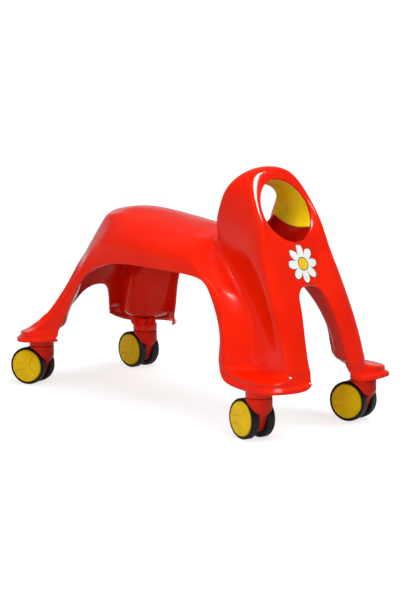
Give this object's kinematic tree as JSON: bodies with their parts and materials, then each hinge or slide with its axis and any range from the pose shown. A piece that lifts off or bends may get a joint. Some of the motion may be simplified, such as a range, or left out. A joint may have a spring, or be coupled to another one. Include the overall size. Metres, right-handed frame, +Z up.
{
  "type": "toddler swivel ride-on",
  "caption": "Moulded saddle body with a raised head that has a hand hole, foot-rests at its legs, on swivelling twin-wheel casters.",
  "frame": {"origin": "on the floor, at the centre of the toy's bounding box", "axes": "+Z up; -Y is the front, where the head and the hand hole are; +X is the toy's left side; the body is symmetric about the plane x = 0"},
  "size_m": [0.2594, 0.5343, 0.316],
  "materials": {
    "red_shell": "glossy moulded polyethylene",
    "red_caster": "glossy moulded nylon",
    "yellow_trim": "satin moulded plastic",
    "black_wheel": "semi-gloss black plastic tread",
    "steel": "zinc-plated steel"
  },
  "bodies": {
    "body": {"body_shell": "red_shell", "handle_liner": "yellow_trim", "front_right_stem": "steel", "front_right_stem_bush": "steel", "front_right_stem_clip": "steel", "front_left_stem": "steel", "front_left_stem_bush": "steel", "front_left_stem_clip": "steel", "rear_right_stem": "steel", "rear_right_stem_bush": "steel", "rear_right_stem_clip": "steel", "rear_left_stem": "steel", "rear_left_stem_bush": "steel", "rear_left_stem_clip": "steel"},
    "front_right_caster": {"front_right_fork": "red_caster", "front_right_axle": "steel"},
    "front_right_wheel_a": {"front_right_wheel_a": "black_wheel", "front_right_wheel_a_cap": "yellow_trim"},
    "front_right_wheel_b": {"front_right_wheel_b": "black_wheel", "front_right_wheel_b_cap": "yellow_trim"},
    "front_left_caster": {"front_left_fork": "red_caster", "front_left_axle": "steel"},
    "front_left_wheel_a": {"front_left_wheel_a": "black_wheel", "front_left_wheel_a_cap": "yellow_trim"},
    "front_left_wheel_b": {"front_left_wheel_b": "black_wheel", "front_left_wheel_b_cap": "yellow_trim"},
    "rear_right_caster": {"rear_right_fork": "red_caster", "rear_right_axle": "steel"},
    "rear_right_wheel_a": {"rear_right_wheel_a": "black_wheel", "rear_right_wheel_a_cap": "yellow_trim"},
    "rear_right_wheel_b": {"rear_right_wheel_b": "black_wheel", "rear_right_wheel_b_cap": "yellow_trim"},
    "rear_left_caster": {"rear_left_fork": "red_caster", "rear_left_axle": "steel"},
    "rear_left_wheel_a": {"rear_left_wheel_a": "black_wheel", "rear_left_wheel_a_cap": "yellow_trim"},
    "rear_left_wheel_b": {"rear_left_wheel_b": "black_wheel", "rear_left_wheel_b_cap": "yellow_trim"}
  },
  "joints": [
    {"name": "front_right_swivel", "type": "hinge", "parent": "body", "child": "front_right_caster", "pos_m": [-0.0855, -0.217, 0.0526], "axis": [0, 0, 1], "continuous": true},
    {"name": "front_right_wheel_a_spin", "type": "hinge", "parent": "front_right_caster", "child": "front_right_wheel_a", "pos_m": [-0.08416, -0.20306, 0.025], "axis": [-0.9954, 0.0958, 0], "continuous": true},
    {"name": "front_right_wheel_b_spin", "type": "hinge", "parent": "front_right_caster", "child": "front_right_wheel_b", "pos_m": [-0.08416, -0.20306, 0.025], "axis": [-0.9954, 0.0958, 0], "continuous": true},
    {"name": "front_left_swivel", "type": "hinge", "parent": "body", "child": "front_left_caster", "pos_m": [0.0855, -0.217, 0.0526], "axis": [0, 0, 1], "continuous": true},
    {"name": "front_left_wheel_a_spin", "type": "hinge", "parent": "front_left_caster", "child": "front_left_wheel_a", "pos_m": [0.08174, -0.20352, 0.025], "axis": [-0.9632, -0.2689, 0], "continuous": true},
    {"name": "front_left_wheel_b_spin", "type": "hinge", "parent": "front_left_caster", "child": "front_left_wheel_b", "pos_m": [0.08174, -0.20352, 0.025], "axis": [-0.9632, -0.2689, 0], "continuous": true},
    {"name": "rear_right_swivel", "type": "hinge", "parent": "body", "child": "rear_right_caster", "pos_m": [-0.088, 0.225, 0.0526], "axis": [0, 0, 1], "continuous": true},
    {"name": "rear_right_wheel_a_spin", "type": "hinge", "parent": "rear_right_caster", "child": "rear_right_wheel_a", "pos_m": [-0.09367, 0.2378, 0.025], "axis": [-0.9143, -0.4051, 0], "continuous": true},
    {"name": "rear_right_wheel_b_spin", "type": "hinge", "parent": "rear_right_caster", "child": "rear_right_wheel_b", "pos_m": [-0.09367, 0.2378, 0.025], "axis": [-0.9143, -0.4051, 0], "continuous": true},
    {"name": "rear_left_swivel", "type": "hinge", "parent": "body", "child": "rear_left_caster", "pos_m": [0.088, 0.225, 0.0526], "axis": [0, 0, 1], "continuous": true},
    {"name": "rear_left_wheel_a_spin", "type": "hinge", "parent": "rear_left_caster", "child": "rear_left_wheel_a", "pos_m": [0.08749, 0.23899, 0.025], "axis": [-0.9993, -0.0366, 0], "continuous": true},
    {"name": "rear_left_wheel_b_spin", "type": "hinge", "parent": "rear_left_caster", "child": "rear_left_wheel_b", "pos_m": [0.08749, 0.23899, 0.025], "axis": [-0.9993, -0.0366, 0], "continuous": true}
  ]
}
